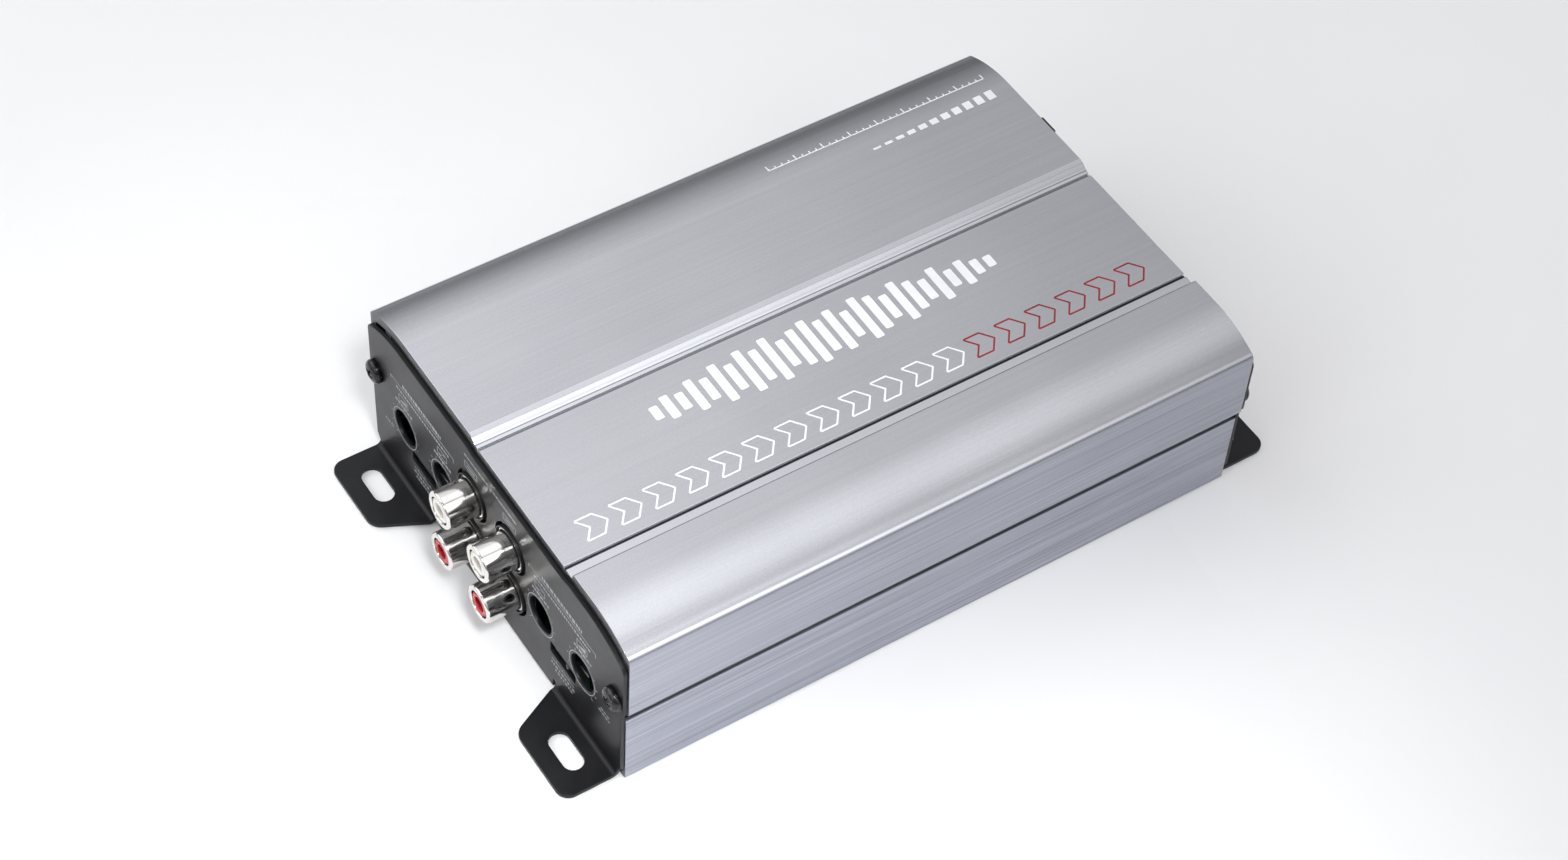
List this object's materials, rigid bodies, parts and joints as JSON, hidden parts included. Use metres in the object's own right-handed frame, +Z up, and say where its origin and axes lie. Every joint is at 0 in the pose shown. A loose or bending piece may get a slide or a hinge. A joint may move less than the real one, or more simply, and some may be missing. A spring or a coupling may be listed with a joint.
{
  "type": "car amplifier",
  "caption": "Compact car audio amplifier: brushed aluminium shells, black end panels with slotted mounting feet, stacked phono inputs, recessed trimmers and slide switches.",
  "frame": {"origin": "on the mounting plane, at the centre of the footprint of the body and its four feet", "axes": "+X along the extrusion towards the power and speaker end, the phono inputs are at -X; +Z up out of the mounting plane; +Y to the side that is on the left when looking along +X"},
  "size_m": [0.1714, 0.1, 0.0432],
  "materials": {
    "upper_aluminium": "fine brushed along the length, satin anodised",
    "lower_aluminium": "fine brushed along the length, satin anodised",
    "panel_black": "satin black paint on sheet steel",
    "foam_black": "matt closed cell foam",
    "screw_black": "black zinc, slightly glossy",
    "zinc_steel": "zinc plated",
    "circuit_board": "green solder mask",
    "moulded_black": "moulded black",
    "rotor_black": "moulded black",
    "switch_can": "tinned can",
    "knob_black": "moulded black",
    "nickel": "bright nickel plate",
    "insulator_white": "moulded white",
    "insulator_red": "moulded red",
    "connector_black": "glass filled nylon, black",
    "fuse_amber": "translucent amber",
    "led_lens": "clear moulded lens",
    "chip_epoxy": "moulded epoxy",
    "pad_grey": "silicone pad",
    "choke_copper": "enamelled copper winding",
    "capacitor_sleeve": "shrink sleeve",
    "ferrite": "pressed ferrite"
  },
  "bodies": {
    "chassis": {"amplifier_chip": "chip_epoxy", "base_screw_1": "screw_black", "base_screw_2": "screw_black", "base_screw_3": "screw_black", "base_screw_4": "screw_black", "base_shell": "lower_aluminium", "clamp_bar": "zinc_steel", "clamp_screw_1": "zinc_steel", "clamp_screw_2": "zinc_steel", "crossover_a_trimmer_body": "moulded_black", "crossover_b_trimmer_body": "moulded_black", "filter_switch_a_body": "switch_can", "filter_switch_b_body": "switch_can", "fuse_socket": "connector_black", "gain_a_trimmer_body": "moulded_black", "gain_b_trimmer_body": "moulded_black", "harness_header": "connector_black", "heatsink_shell": "upper_aluminium", "input_gasket": "foam_black", "input_panel": "panel_black", "level_input_header": "connector_black", "main_board": "circuit_board", "output_gasket": "foam_black", "output_inductor_1": "ferrite", "output_inductor_2": "ferrite", "output_panel": "panel_black", "panel_screw_input_far": "screw_black", "panel_screw_input_near": "screw_black", "panel_screw_output_far": "screw_black", "panel_screw_output_near": "screw_black", "phono_housing_a": "moulded_black", "phono_housing_b": "moulded_black", "phono_insulator_a_left": "insulator_white", "phono_insulator_a_right": "insulator_red", "phono_insulator_b_left": "insulator_white", "phono_insulator_b_right": "insulator_red", "phono_sleeve_a_left": "nickel", "phono_sleeve_a_right": "nickel", "phono_sleeve_b_left": "nickel", "phono_sleeve_b_right": "nickel", "reservoir_capacitor_1": "capacitor_sleeve", "reservoir_capacitor_2": "capacitor_sleeve", "reservoir_capacitor_3": "capacitor_sleeve", "reservoir_capacitor_4": "capacitor_sleeve", "status_led": "led_lens", "supply_transistor": "chip_epoxy", "thermal_pad": "pad_grey", "toroid_choke": "choke_copper"},
    "gain_a_rotor": {"gain_a_trimmer_rotor": "rotor_black"},
    "crossover_a_rotor": {"crossover_a_trimmer_rotor": "rotor_black"},
    "crossover_b_rotor": {"crossover_b_trimmer_rotor": "rotor_black"},
    "gain_b_rotor": {"gain_b_trimmer_rotor": "rotor_black"},
    "filter_switch_a_slider": {"filter_switch_a_knob": "knob_black"},
    "filter_switch_b_slider": {"filter_switch_b_knob": "knob_black"},
    "fuse_body": {"fuse": "fuse_amber"}
  },
  "joints": [
    {"name": "gain_a_turn", "type": "hinge", "parent": "chassis", "child": "gain_a_rotor", "pos_m": [-0.0675, 0.0354, 0.0185], "axis": [-1, 0, 0], "range_deg": [-140, 140]},
    {"name": "crossover_a_turn", "type": "hinge", "parent": "chassis", "child": "crossover_a_rotor", "pos_m": [-0.0675, 0.0196, 0.0185], "axis": [-1, 0, 0], "range_deg": [-140, 140]},
    {"name": "crossover_b_turn", "type": "hinge", "parent": "chassis", "child": "crossover_b_rotor", "pos_m": [-0.0675, -0.0188, 0.0185], "axis": [-1, 0, 0], "range_deg": [-140, 140]},
    {"name": "gain_b_turn", "type": "hinge", "parent": "chassis", "child": "gain_b_rotor", "pos_m": [-0.0675, -0.0346, 0.0185], "axis": [-1, 0, 0], "range_deg": [-140, 140]},
    {"name": "filter_switch_a_slide", "type": "slide", "parent": "chassis", "child": "filter_switch_a_slider", "axis": [0, 1, 0], "range_m": [-0.0024, 0.0024]},
    {"name": "filter_switch_b_slide", "type": "slide", "parent": "chassis", "child": "filter_switch_b_slider", "axis": [0, 1, 0], "range_m": [-0.0024, 0.0024]},
    {"name": "fuse_pull", "type": "slide", "parent": "chassis", "child": "fuse_body", "axis": [1, 0, 0], "range_m": [0, 0.02]}
  ]
}
